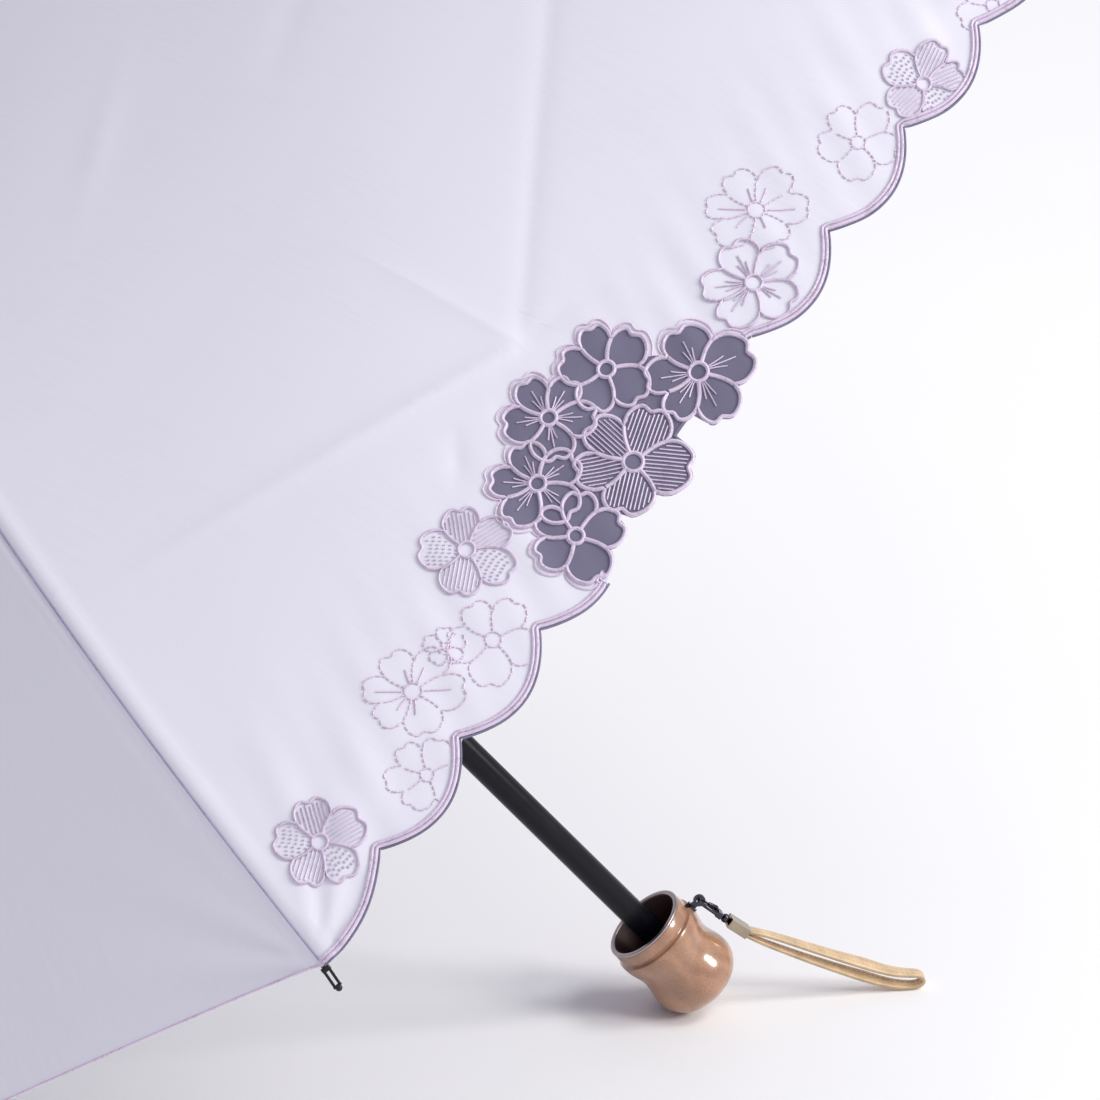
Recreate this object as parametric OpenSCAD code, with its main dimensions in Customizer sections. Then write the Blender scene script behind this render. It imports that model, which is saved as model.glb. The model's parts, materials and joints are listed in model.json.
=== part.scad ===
// Three-fold sun parasol, open and lying on two rib tips and its handle.
// Millimetres. The frame is drawn upright about the shaft's axis (rim plane at
// height 0, handle below) and one turn then lays it down, +Z up, on the floor.

/* [Canopy] */
// Distance from the shaft's axis to a canopy corner
canopy_r = 489; // [470:1:510]
// Height of the dome's top above the plane of its corners
canopy_depth = 245; // [230:1:260]
// Thickness of the canopy's cloth solid
cloth_t = 0.8; // [0.6:0.1:1.2]
// Most that a hem pulls in between two rib tips
hem_inset = 4; // [2:1:12]
// Most that a panel dips between two ribs
panel_dip = 4; // [0:1:8]

/* [Ribs] */
// Length of an inner rib, from the crown's pin to the middle rib's pin
inner_len = 180; // [176:1:184]
// Length of a middle rib, pin to pin
middle_len = 200; // [190:1:204]
// Height of the rib channels
rib_h = 3.0; // [2.6:0.1:3.2]
// Width of the rib channels
rib_w = 3.2; // [3.2:0.1:3.4]
// Radius of the outer ribs' wire
wire_r = 1.1; // [0.9:0.1:1.3]
// Length of a stretcher, pin to pin
stretcher_len = 108; // [106:1:110]
// Distance along an inner rib from the crown's pin to the stretcher's rivet
stretcher_at = 88; // [86:1:90]

/* [Shaft] */
// Outer radius of the bottom tube; the two above each step in by one wall
tube_r = 5.7; // [5.5:0.1:6]
// Wall of all three tubes
tube_wall = 0.5; // [0.4:0.05:0.6]
// Travel of the middle tube into the bottom tube
lower_travel = 172; // [150:1:172]
// Travel of the top tube into the middle tube
upper_travel = 166; // [150:1:166]

/* [Handle] */
// Distance from the rim plane down to the handle's mouth
mouth_drop = 322; // [322:1:335]
// Length of the wooden handle
handle_len = 44.5; // [44:0.5:46]
// Widest radius of the wooden handle
handle_r = 19.6; // [19:0.1:20.5]

/* [Hidden] */
$fn = 48;

ribs = 6;
half_step = 180 / ribs;
wood = "#c08a5c";
black = "#1c1b1e";
gunmetal = "#5d5c62";
lavender = "#dddaea";
plain_lavender = "#bdb8cb";
gold_leather = "#d9c7a2";
gold_metal = "#cfc4ae";

// Dome: an arc through the top and the corners, turned about the axis.
rho = (canopy_r * canopy_r + canopy_depth * canopy_depth) / (2 * canopy_depth);
arc_z = canopy_depth - rho;
rim_a = asin(canopy_r / rho);
function arc_pt(radius, a) = [radius * sin(a), arc_z + radius * cos(a)];
function below_level(p, q) = atan2(p[1] - q[1], q[0] - p[0]);

// Rib pins, as [distance from the axis, height], and the ribs' straight centre lines.
frame_gap = 6;
tip_gap = 2.6;
pin_ring_r = 9;
pin_off = 2.4;
pin_r = 0.8;
pin_play = 0.08;
eye_r = 1.9;
frame_rho = rho - frame_gap;
a0 = asin(pin_ring_r / frame_rho);
a1 = a0 + 2 * asin(inner_len / 2 / frame_rho);
a2 = a1 + 2 * asin(middle_len / 2 / frame_rho);
pin0 = arc_pt(frame_rho, a0);
pin1 = arc_pt(frame_rho, a1);
pin2 = arc_pt(frame_rho, a2);
bend1 = arc_pt(frame_rho - pin_off, a1);
bend2 = arc_pt(frame_rho + pin_off, a2);
wire_end = arc_pt(rho - tip_gap, rim_a);
inner_slope = below_level(pin0, bend1);
middle_slope = below_level(bend1, bend2);
outer_slope = below_level(bend2, wire_end);
inner_span = norm(bend1 - pin0);
middle_span = norm(bend2 - bend1);
outer_span = norm(wire_end - bend2);

// Wire tip: a short hairpin past the canopy corner with a ball on its end.
tip_len = 10.5;
tip_ball_r = 1.3;
tip_slope = outer_slope - 10;
tip_ball = wire_end + tip_len * [cos(tip_slope), -sin(tip_slope)];

// Stretcher and runner heights.
rivet_pt = pin0 + stretcher_at * [cos(inner_slope), -sin(inner_slope)];
rivet_out = rivet_pt[0] - pin_ring_r;
runner_z = rivet_pt[1] - sqrt(stretcher_len * stretcher_len - rivet_out * rivet_out);
stretcher_slope = below_level([pin_ring_r, runner_z], rivet_pt);

// Shaft stations, all on the axis.
mouth_z = -mouth_drop;
tube_seat = 34;
bottom_top_z = -139;
middle_overlap = 28;
top_overlap = 20;
mid_top_z = 36;
mid_low_z = bottom_top_z - middle_overlap;
top_low_z = mid_top_z - top_overlap;
slide_play = 0.1;
mid_r = tube_r - tube_wall - slide_play;
top_r = mid_r - tube_wall - slide_play;
crown_top_z = canopy_depth - cloth_t - 0.4;
crown_low_z = crown_top_z - 9;
crown_r = 11.5;
slot_w = 3.9;
runner_bore_r = tube_r + slide_play;
runner_sleeve_r = 7.2;
runner_low = 22;
runner_high = 14;

// Handle profile: a band, a waist and a bulb, then a round end.
band_at = 9.5;
bulb_at = handle_len - 12;
end_round_r = 12;
waist_dip = 0.9;
end_flat_r = handle_r - end_round_r;

// Lying pose: the lowest two tip balls and the handle's round end share the floor.
lean_a = tip_ball[0] * cos(half_step) - end_flat_r;
lean_b = mouth_drop + bulb_at + tip_ball[1];
lean_c = end_round_r - tip_ball_r;
axis_rise = acos(lean_c / norm([lean_a, lean_b])) - atan2(lean_b, lean_a);
rim_z = tip_ball[0] * cos(half_step) * cos(axis_rise) - tip_ball[1] * sin(axis_rise) + tip_ball_r;
rim_x = tip_ball[1] * cos(axis_rise);

// Wrist strap, in the upright plane through the shaft: [x, z] in the lying frame.
strap_w = 6;
strap_t = 1.3;
crimp_from = [241.5, 39.6];
crimp_to = [249.4, 33.4];
strap_route = [
  [248.8, 32.6], [256, 28.2], [264, 24], [272, 19.9], [280, 15.9], [288, 12.1], [296, 8.4],
  [304, 5], [311, 2.6], [318, 1.1], [323, 0.9], [326.3, 2.2], [326.9, 4.6], [324.6, 6.4],
  [320, 6.7], [313, 7.8], [305, 10.6], [297, 14], [289, 17.5], [281, 21.1], [273, 24.8],
  [265, 28.5], [257, 32], [250.0, 34.2]
];
stud_s = 9.2;
stud_r = 2.6;
stud_base_r = 17.9;
stud_eye_out = 4.4;
hook_pin_r = 0.9;

module lying() {
  translate([rim_x, 0, rim_z]) rotate([0, axis_rise - 90, 0]) children();
}

// Rib i's own plane, with x running outward from the axis.
module rib_plane(i) {
  lying() rotate([0, 0, half_step + 2 * half_step * (i - 1)]) children();
}

// Local x along a line that starts at p and drops by slope degrees.
module along(p, slope) {
  translate([p[0], 0, p[1]]) rotate([0, slope, 0]) children();
}

module cross_cylinder(r, w) {
  rotate([90, 0, 0]) cylinder(r = r, h = w, center = true);
}

module tube(r, wall, z_low, z_high) {
  translate([0, 0, z_low]) difference() {
    cylinder(r = r, h = z_high - z_low);
    translate([0, 0, -1]) cylinder(r = r - wall, h = z_high - z_low + 2);
  }
}

// Round hole through one side of a tube, on the side away from the floor.
module side_hole(r, z) {
  translate([2, 0, z]) rotate([0, 90, 0]) cylinder(r = r, h = 8);
}

// ---- Handle ----

function cup_r(s) = handle_r - waist_dip + waist_dip * cos(360 * (s - band_at) / (bulb_at - band_at));

module handle_cup() {
  steps = 14;
  lip_s = 1.2;
  cavity_s = 27;
  screw_r = 2.1;
  head_r = 4.2;
  waist = [for (k = [0 : steps]) let (s = band_at + (bulb_at - band_at) * k / steps) [cup_r(s), -s]];
  round_end = [for (k = [1 : 10]) let (a = 9 * k)
    [end_flat_r + end_round_r * cos(a), -bulb_at - end_round_r * sin(a)]];
  color(wood) lying() translate([0, 0, mouth_z]) difference() {
    rotate_extrude() polygon(concat(
      [[16.2, -lip_s], [18.1, -lip_s], [18.5, -6], [17.9, -6.5], [17.9, -7.1], [handle_r, -7.6]],
      waist, round_end,
      [[head_r, -handle_len], [head_r, -handle_len + 2.6], [screw_r, -handle_len + 4.2],
       [screw_r, -36], [8, -36], [8, -cavity_s], [11.2, -cavity_s], [12.6, -cavity_s + 1.4]]
    ));
    translate([stud_base_r, 0, -stud_s]) rotate([0, 90, 0]) cylinder(r = stud_r, h = 5);
  }
}

module mouth_ring() {
  color("#8d8a96") lying() translate([0, 0, mouth_z]) rotate_extrude()
    polygon([[16.1, -1.2], [16.1, -0.4], [16.5, 0], [17.8, 0], [18.2, -0.4], [18.2, -1.2]]);
}

module handle_plug() {
  color(black) lying() translate([0, 0, mouth_z]) rotate_extrude() polygon([
    [tube_r, -24], [8.4, -24], [9.6, -25.2], [9.6, -27], [8, -27], [8, -36],
    [1.5, -36], [1.5, -tube_seat], [tube_r, -tube_seat]
  ]);
}

module handle_screw() {
  color(gunmetal) lying() translate([0, 0, mouth_z]) difference() {
    rotate_extrude() polygon([
      [0, -tube_seat - 0.2], [1.5, -tube_seat - 0.2], [1.5, -handle_len + 4.2], [3.9, -handle_len + 2.6],
      [3.9, -handle_len + 0.8], [0, -handle_len + 0.8]
    ]);
    for (a = [0, 90]) rotate([0, 0, a]) translate([-2.2, -0.4, -handle_len]) cube([4.4, 0.8, 2]);
  }
}

// Eye plate that stands on the handle's band, on the side away from the floor.
module strap_stud() {
  color(gunmetal) lying() translate([0, 0, mouth_z - stud_s]) difference() {
    union() {
      translate([stud_base_r, 0, 0]) rotate([0, 90, 0]) cylinder(r = stud_r, h = handle_r - stud_base_r + 0.8);
      translate([handle_r, -0.7, -1.3]) cube([stud_eye_out, 1.4, 2.6]);
      translate([handle_r + stud_eye_out, 0, 0]) cross_cylinder(2.6, 1.4);
    }
    translate([handle_r + stud_eye_out, 0, 0]) cross_cylinder(1.3, 3);
  }
}

// ---- Shaft ----

module bottom_tube() {
  color(black) lying() difference() {
    tube(tube_r, tube_wall, mouth_z - tube_seat, bottom_top_z);
    side_hole(1.4, mid_low_z + 8);
  }
}

module middle_tube() {
  color(black) lying() difference() {
    tube(mid_r, tube_wall, mid_low_z, mid_top_z);
    side_hole(1.4, mid_low_z + 8);
    side_hole(1.4, top_low_z + 7);
  }
}

module top_tube() {
  color(black) lying() difference() {
    tube(top_r, tube_wall, top_low_z, crown_top_z - 2);
    side_hole(1.4, top_low_z + 7);
    side_hole(1.4, runner_z - runner_low - 1.6);
  }
}

// Leaf spring inside a tube with a round nose that stands out through the tube's hole.
module spring_catch(bore_r, nose_out, z) {
  leaf_x = bore_r - 1.3;
  color(gunmetal) lying() translate([0, 0, z]) {
    translate([leaf_x, -1.2, -4]) cube([0.5, 2.4, 8]);
    translate([leaf_x + 0.2, 0, 0]) rotate([0, 90, 0]) cylinder(r = 1.2, h = nose_out - leaf_x - 0.2);
  }
}

module runner_catch() {
  spring_catch(top_r - tube_wall, runner_bore_r + 1, runner_z - runner_low - 1.6);
}

module upper_catch() {
  spring_catch(top_r - tube_wall, mid_r + 0.7, top_low_z + 7);
}

module lower_catch() {
  spring_catch(mid_r - tube_wall, tube_r + 0.7, mid_low_z + 8);
}

// ---- Crown and runner ----

// Six slots, each with a cross bore for the pin that a rib or stretcher turns on.
module hub_slots(z, low, high) {
  for (i = [1 : ribs]) rotate([0, 0, half_step + 2 * half_step * (i - 1)]) {
    translate([pin_ring_r - 2.4, -slot_w / 2, z - low]) cube([20, slot_w, low + high]);
    translate([pin_ring_r, 0, z]) cross_cylinder(pin_r, 7);
  }
}

module hub_pins(z) {
  for (i = [1 : ribs]) rotate([0, 0, half_step + 2 * half_step * (i - 1)])
    translate([pin_ring_r, 0, z]) cross_cylinder(pin_r, 6.2);
}

module crown() {
  color(black) lying() difference() {
    translate([0, 0, crown_low_z]) cylinder(r = crown_r, h = crown_top_z - crown_low_z);
    translate([0, 0, crown_low_z - 1]) cylinder(r = top_r, h = crown_top_z - crown_low_z - 1);
    hub_slots(pin0[1], 10, 2.4);
  }
}

module crown_pins() {
  color(gunmetal) lying() hub_pins(pin0[1]);
}

module top_cap() {
  color(lavender) lying() difference() {
    translate([0, 0, canopy_depth + 0.3]) cylinder(r = 11, h = 1.4);
    translate([0, 0, canopy_depth]) cylinder(r = 4.3, h = 3);
  }
}

// The tip stands on a short neck over a wider foot that fills the hole in the cap.
module ferrule() {
  foot_r = 4.2;
  tip_r = 3.9;
  neck_r = 3.4;
  tip_from = canopy_depth + 3;
  color(black) lying() {
    translate([0, 0, crown_top_z]) cylinder(r = foot_r, h = tip_from - 0.8 - crown_top_z);
    translate([0, 0, tip_from - 1]) cylinder(r = neck_r, h = 2);
    translate([0, 0, tip_from]) cylinder(r = tip_r, h = 12);
    translate([0, 0, tip_from + 12]) sphere(r = tip_r);
  }
}

module runner() {
  color(black) lying() difference() {
    union() {
      translate([0, 0, runner_z - runner_low]) cylinder(r = runner_sleeve_r, h = runner_low + runner_high);
      translate([0, 0, runner_z - 4]) cylinder(r = crown_r, h = 7);
    }
    translate([0, 0, runner_z - 40]) cylinder(r = runner_bore_r, h = 80);
    difference() {
      hub_slots(runner_z, 2.6, 8);
      translate([0, 0, runner_z - 10]) cylinder(r = runner_sleeve_r - 0.5, h = 30);
    }
  }
}

module runner_pins() {
  color(gunmetal) lying() hub_pins(runner_z);
}

module runner_collar() {
  color(black) lying() translate([0, 0, runner_z - runner_low + 1]) difference() {
    cylinder(r = 9, h = 11);
    translate([0, 0, -1]) cylinder(r = runner_sleeve_r, h = 13);
  }
}

// ---- Ribs ----

// Folded channel, open on the side towards the shaft, from x0 to x1.
module channel(x0, x1) {
  wall = 0.5;
  translate([x0, -rib_w / 2, -rib_h / 2]) difference() {
    cube([x1 - x0, rib_w, rib_h]);
    translate([2, wall, -1]) cube([x1 - x0 - 4, rib_w - 2 * wall, rib_h - wall + 1]);
  }
}

// Knuckle pieces about a cross pin at the origin; the rib lies on the side of dir, off below.
module tongue(dir) {
  difference() {
    union() {
      cross_cylinder(eye_r, 1.2);
      translate([dir > 0 ? 0 : -5, -0.6, -pin_off - 1.2]) cube([5, 1.2, pin_off + 1.7]);
    }
    cross_cylinder(pin_r + pin_play, 4);
  }
}

module fork(dir) {
  for (y = [-1.2, 1.2]) translate([0, y, 0]) {
    cross_cylinder(eye_r, rib_w / 2 - 0.8);
    translate([dir > 0 ? 0 : -5, -(rib_w / 2 - 0.8) / 2, -pin_off - 1.2])
      cube([5, rib_w / 2 - 0.8, pin_off + 1.7]);
  }
  cross_cylinder(pin_r, 2.4);
}

module rib_inner(i) {
  color(black) rib_plane(i) {
    along(pin0, inner_slope) {
      difference() {
        union() {
          cross_cylinder(eye_r, rib_w);
          channel(0.5, inner_span - 3.4);
        }
        cross_cylinder(pin_r + pin_play, 6);
      }
      translate([stretcher_at, 0, 0]) cross_cylinder(pin_r, rib_w);
    }
    along(pin1, inner_slope) tongue(-1);
  }
}

module rib_middle(i) {
  color(black) rib_plane(i) {
    along(bend1, middle_slope) channel(3.4, middle_span - 3.4);
    along(pin1, middle_slope) fork(1);
    along(pin2, middle_slope) mirror([0, 0, 1]) tongue(-1);
  }
}

module rib_outer(i) {
  color(black) rib_plane(i) {
    along(bend2, outer_slope) {
      translate([3.4, 0, 0]) rotate([0, 90, 0]) cylinder(r = wire_r, h = outer_span - 3.4);
      translate([3.4, -rib_w / 2, -wire_r]) cube([5, rib_w, 2 * wire_r]);
    }
    along(pin2, outer_slope) mirror([0, 0, 1]) fork(1);
  }
}

module rib_tip(i) {
  leg_r = 0.55;
  leg_y = 1.1;
  color(black) rib_plane(i) along(wire_end, tip_slope) {
    translate([wire_r + 0.25, 0, 0]) cross_cylinder(wire_r, 2 * leg_y + 2 * leg_r);
    for (y = [-leg_y, leg_y]) translate([0.9, y, 0]) rotate([0, 90, 0])
      cylinder(r = leg_r, h = tip_len - 1.6);
    translate([tip_len, 0, 0]) sphere(r = tip_ball_r);
    translate([tip_len - 1, 0, 0]) cross_cylinder(leg_r, 2 * leg_y + 2 * leg_r);
  }
}

// Two blades that straddle the inner rib, joined by a block next to the runner.
module stretcher(i) {
  blade_in = rib_w / 2 + 0.3;
  blade_t = 0.7;
  color(black) rib_plane(i) along([pin_ring_r, runner_z], stretcher_slope) difference() {
    union() {
      cross_cylinder(eye_r, rib_w);
      translate([0, -rib_w / 2, -1.3]) cube([8, rib_w, 2.6]);
      translate([6, -blade_in - blade_t, -1.3]) cube([6, 2 * (blade_in + blade_t), 2.6]);
      for (y = [-blade_in - blade_t, blade_in]) translate([6, y, -1.3]) cube([stretcher_len - 6, blade_t, 2.6]);
      for (s = [-1, 1]) translate([stretcher_len, s * (blade_in + blade_t / 2), 0]) cross_cylinder(1.9, blade_t);
    }
    cross_cylinder(pin_r + pin_play, 6);
    translate([stretcher_len, 0, 0]) cross_cylinder(pin_r + 0.3, 8);
  }
}

// ---- Canopy ----

panel_across = 8;
panel_down = 12;
apex_r = 5.3;
apex_a = asin(apex_r / rho);

// Across u from -1 to 1 between two ribs, down v from 0 at the top to 1 at the hem.
function hem_a(u) = asin((canopy_r - hem_inset * pow(1 - u * u, 0.7) / cos(half_step)) / rho);
function panel_a(u, v) = apex_a + (hem_a(u) - apex_a) * v;
function panel_in(u, v) = panel_dip * sin(180 * v) * (1 - u * u);
function panel_pt(u, v, depth) =
  let (a = panel_a(u, v), r = rho * sin(a), d = depth + panel_in(u, v))
  [r * cos(half_step) - d * sin(a) * cos(half_step * u),
   r * sin(half_step) * u - d * sin(a) * sin(half_step * u),
   arc_z + rho * cos(a) - d * cos(a)];

module canopy(i) {
  row = panel_across + 1;
  sheet = row * (panel_down + 1);
  points = [for (depth = [0, cloth_t], j = [0 : panel_down], k = [0 : panel_across])
    panel_pt(2 * k / panel_across - 1, j / panel_down, depth)];
  faces = concat(
    [for (j = [0 : panel_down - 1], k = [0 : panel_across - 1], half = [0, 1]) let (p = j * row + k)
      half == 0 ? [p, p + 1, p + row + 1] : [p, p + row + 1, p + row]],
    [for (j = [0 : panel_down - 1], k = [0 : panel_across - 1], half = [0, 1]) let (p = sheet + j * row + k)
      half == 0 ? [p, p + row + 1, p + 1] : [p, p + row, p + row + 1]],
    [for (k = [0 : panel_across - 1], half = [0, 1])
      half == 0 ? [k, k + sheet, k + 1 + sheet] : [k, k + 1 + sheet, k + 1]],
    [for (k = [0 : panel_across - 1], half = [0, 1]) let (p = panel_down * row + k)
      half == 0 ? [p, p + 1, p + 1 + sheet] : [p, p + 1 + sheet, p + sheet]],
    [for (j = [0 : panel_down - 1], half = [0, 1]) let (p = j * row)
      half == 0 ? [p, p + row, p + row + sheet] : [p, p + row + sheet, p + sheet]],
    [for (j = [0 : panel_down - 1], half = [0, 1]) let (p = j * row + panel_across)
      half == 0 ? [p, p + sheet, p + row + sheet] : [p, p + row + sheet, p + row]]
  );
  color(i % 2 == 1 ? lavender : plain_lavender)
    lying() rotate([0, 0, 2 * half_step * i]) polyhedron(points, faces);
}

// ---- Wrist strap ----

stud_eye = [
  rim_x + (handle_r + stud_eye_out) * sin(axis_rise) + (mouth_drop + stud_s) * cos(axis_rise),
  rim_z + (handle_r + stud_eye_out) * cos(axis_rise) - (mouth_drop + stud_s) * sin(axis_rise)
];
swivel_at = crimp_from - 1.8 * (crimp_to - crimp_from) / norm(crimp_to - crimp_from);
hook_slope = below_level(stud_eye, swivel_at);
hook_span = norm(swivel_at - stud_eye);
crimp_slope = below_level(crimp_from, crimp_to);
crimp_len = norm(crimp_to - crimp_from);

// A stirrup: a cross pin through the stud's eye, two arms and a block that holds the swivel.
module strap_hook() {
  color(gunmetal) along(stud_eye, hook_slope) {
    cross_cylinder(hook_pin_r, 4.6);
    for (y = [-2.4, 1.2]) translate([-0.9, y, -0.9]) cube([hook_span - 3.1, 1.2, 1.8]);
    difference() {
      translate([hook_span - 5.2, -2.4, -1.4]) cube([2.6, 4.8, 2.8]);
      translate([hook_span - 6, 0, 0]) rotate([0, 90, 0]) cylinder(r = 0.7, h = 5);
    }
  }
}

module strap_swivel() {
  color(gunmetal) {
    along(stud_eye, hook_slope) {
      translate([hook_span - 6.3, 0, 0]) rotate([0, 90, 0]) cylinder(r = 1.15, h = 0.9);
      translate([hook_span - 6, 0, 0]) rotate([0, 90, 0]) cylinder(r = 0.6, h = 6);
      translate([hook_span, 0, 0]) sphere(r = 2);
    }
  }
}

module strap_crimp() {
  color(gold_metal) along(crimp_from, crimp_slope) difference() {
    translate([0, -strap_w / 2 - 0.5, -2.2]) cube([crimp_len, strap_w + 1, 4.4]);
    translate([crimp_len - 0.6, -strap_w / 2 - 0.1, -1.8]) cube([1, strap_w + 0.2, 3.6]);
    translate([-1.8, 0, 0]) sphere(r = 2);
  }
}

module wrist_strap() {
  last = len(strap_route) - 1;
  half_w = strap_w / 2;
  half_t = strap_t / 2;
  edge = 0.35;
  profile = [
    [-half_w + edge, -half_t], [half_w - edge, -half_t], [half_w, -half_t + edge], [half_w, half_t - edge],
    [half_w - edge, half_t], [-half_w + edge, half_t], [-half_w, half_t - edge], [-half_w, -half_t + edge]
  ];
  sides = len(profile);
  rings = [for (k = [0 : last]) let (
    t = strap_route[min(k + 1, last)] - strap_route[max(k - 1, 0)],
    n = [-t[1], t[0]] / norm(t))
    [for (q = profile) [strap_route[k][0] + n[0] * q[1], q[0], strap_route[k][1] + n[1] * q[1]]]];
  faces = concat(
    [[for (q = [0 : sides - 1]) sides - 1 - q]],
    [for (k = [0 : last - 1], q = [0 : sides - 1]) let (p = k * sides, r = (q + 1) % sides)
      [p + q, p + r, p + sides + r]],
    [for (k = [0 : last - 1], q = [0 : sides - 1]) let (p = k * sides, r = (q + 1) % sides)
      [p + q, p + sides + r, p + sides + q]],
    [[for (q = [0 : sides - 1]) last * sides + q]]
  );
  color(gold_leather) polyhedron([for (ring = rings, p = ring) p], faces);
}

handle_cup();
mouth_ring();
handle_plug();
handle_screw();
strap_stud();
bottom_tube();
middle_tube();
top_tube();
crown();
crown_pins();
top_cap();
ferrule();
runner();
runner_pins();
runner_collar();
runner_catch();
upper_catch();
lower_catch();
strap_hook();
strap_swivel();
strap_crimp();
wrist_strap();
for (i = [1 : ribs]) {
  canopy(i);
  rib_inner(i);
  rib_middle(i);
  rib_outer(i);
  rib_tip(i);
  stretcher(i);
}
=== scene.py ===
"""Visual model of a three-fold sun parasol that lies open on two rib tips and its handle."""
import json
import math

import bmesh
import bpy
import numpy as np
from mathutils import Matrix, Vector


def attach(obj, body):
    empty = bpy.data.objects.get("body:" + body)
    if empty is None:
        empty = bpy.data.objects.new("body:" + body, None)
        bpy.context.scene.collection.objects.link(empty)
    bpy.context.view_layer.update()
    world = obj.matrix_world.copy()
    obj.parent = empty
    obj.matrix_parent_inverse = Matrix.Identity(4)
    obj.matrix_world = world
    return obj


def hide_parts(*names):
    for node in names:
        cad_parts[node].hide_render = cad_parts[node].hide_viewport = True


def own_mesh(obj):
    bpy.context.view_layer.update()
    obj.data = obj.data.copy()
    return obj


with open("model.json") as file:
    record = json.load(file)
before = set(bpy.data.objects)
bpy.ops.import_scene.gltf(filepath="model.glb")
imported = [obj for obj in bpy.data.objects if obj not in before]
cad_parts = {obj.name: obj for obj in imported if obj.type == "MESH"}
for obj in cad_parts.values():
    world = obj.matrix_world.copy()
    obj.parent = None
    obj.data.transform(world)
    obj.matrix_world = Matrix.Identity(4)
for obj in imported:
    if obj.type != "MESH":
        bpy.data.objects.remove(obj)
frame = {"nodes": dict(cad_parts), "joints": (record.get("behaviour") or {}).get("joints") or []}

bl_info = {
    "name": "Folding Sun Parasol",
    "version": (1, 0, 0),
    "blender": (4, 5, 0),
    "location": "View3D > Sidebar > Parasol",
    "description": "Builds the cloth, embroidery, handle and finishes of a folding sun parasol",
    "category": "Object",
}

MM = 0.001
RIBS = 6
STEP = math.radians(60)
HALF = STEP / 2
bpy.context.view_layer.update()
NODES = frame["nodes"]
JOINTS = {joint["name"]: joint for joint in frame["joints"]}


# ---- Sizes and colours ----

def length(name, description, default):
    return bpy.props.FloatProperty(name=name, description=description, default=default, unit="LENGTH")


def colour_of(name, description, default):
    return bpy.props.StringProperty(name=name, description=description + ", sRGB hex", default=default)


class ParasolSizes(bpy.types.PropertyGroup):
    canopy_r: length("Canopy radius", "Shaft's axis to a canopy corner", 0.489)
    canopy_depth: length("Canopy depth", "Dome's top above the plane of its corners", 0.245)
    inner_rib: length("Inner rib", "Crown's pin to the first knuckle", 0.180)
    middle_rib: length("Middle rib", "First knuckle to the second", 0.200)
    cloth: length("Cloth", "Thickness of the cloth with its coating", 0.0004)
    panel_dip: length("Panel dip", "Most that a panel dips between two ribs", 0.004)
    notch_up: length("Notch rise", "Scallop notches, up the dome from the corners' arc", 0.0087)
    scallop: length("Scallop", "Height of a scallop's arc", 0.0115)
    fold_keep: bpy.props.FloatProperty(
        name="Fold keep", description="Share of its width that the cloth keeps when folded",
        default=0.06, subtype="FACTOR")


class ParasolColours(bpy.types.PropertyGroup):
    lavender: colour_of("Cloth", "Outer face of the cloth", "d9d7e2")
    lining: colour_of("Coating", "Shade coating on the inner face", "6f6a84")
    pink: colour_of("Satin thread", "Thread of the hem and the outlines", "c0b2c6")
    pale_pink: colour_of("Running thread", "Thread of the light flowers", "ccb8cf")
    wood: colour_of("Wood", "Lacquered cherry", "a67b5e")
    leather: colour_of("Strap", "Gold leather", "dfc29c")


def sizes():
    return bpy.context.scene.parasol_sizes


def colours():
    return bpy.context.scene.parasol_colours


def srgb(code):
    """Linear RGBA of an sRGB hex value."""
    channels = [int(code[k:k + 2], 16) / 255 for k in (0, 2, 4)]
    linear = [c / 12.92 if c <= 0.04045 else ((c + 0.055) / 1.055) ** 2.4 for c in channels]
    return (*linear, 1.0)


# ---- The parasol's own axes, read from the frame ----

AXIS = Vector(JOINTS["canopy_fold"]["axis"]).normalized()
RAISED = Vector((AXIS.z, 0, -AXIS.x))
ACROSS = Vector((0, 1, 0))
CROWN_PINS = [Vector(JOINTS[f"inner_rib_{k}"]["pos_m"]) for k in range(1, RIBS + 1)]
CROWN = sum(CROWN_PINS, Vector()) / RIBS
CROWN_PIN_R = (CROWN_PINS[0] - CROWN).length
# The ribs' pins are this far inside the cloth's arc, and the cloth starts this far from the axis.
FRAME_GAP = 6 * MM
CROWN_HOLE_R = 5.3 * MM
SIDES = {-1: "left", 1: "right"}


class Dome:
    """The canopy's arc, turned about the axis; angles are from the axis, at the arc's centre."""

    def __init__(self):
        s = sizes()
        self.rho = (s.canopy_r ** 2 + s.canopy_depth ** 2) / (2 * s.canopy_depth)
        self.arc_z = s.canopy_depth - self.rho
        self.rim = math.asin(s.canopy_r / self.rho)
        inside = self.rho - FRAME_GAP
        self.pin = math.asin(CROWN_PIN_R / inside)
        self.knee = self.pin + 2 * math.asin(s.inner_rib / 2 / inside)
        self.elbow = self.knee + 2 * math.asin(s.middle_rib / 2 / inside)
        self.apex = math.asin(CROWN_HOLE_R / self.rho)
        self.spans = {"inner": (self.apex, self.knee), "middle": (self.knee, self.elbow),
                      "outer": (self.elbow, self.rim)}
        self.origin = CROWN - AXIS * (self.arc_z + inside * math.cos(self.pin))

    def half(self, a):
        """Half a panel's width at an angle."""
        return self.rho * np.sin(a) * math.sin(HALF)


def to_row(dome, x, y, z):
    """Points about the shaft's axis, as arrays, in the row frame."""
    basis = np.array([RAISED, ACROSS, AXIS])
    return np.array(dome.origin) + np.stack([x, y, z], axis=-1) @ basis


# ---- Cloth surface ----

# Notches between scallops, across half a panel from its middle to the corner.
NOTCHES = [44.3, 95.2, 146.1, 197.0, 244.5]
# The cut-work's flowers are the hem between these places across the panel.
CUT_FROM, CUT_TO = -66, 44

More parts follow.
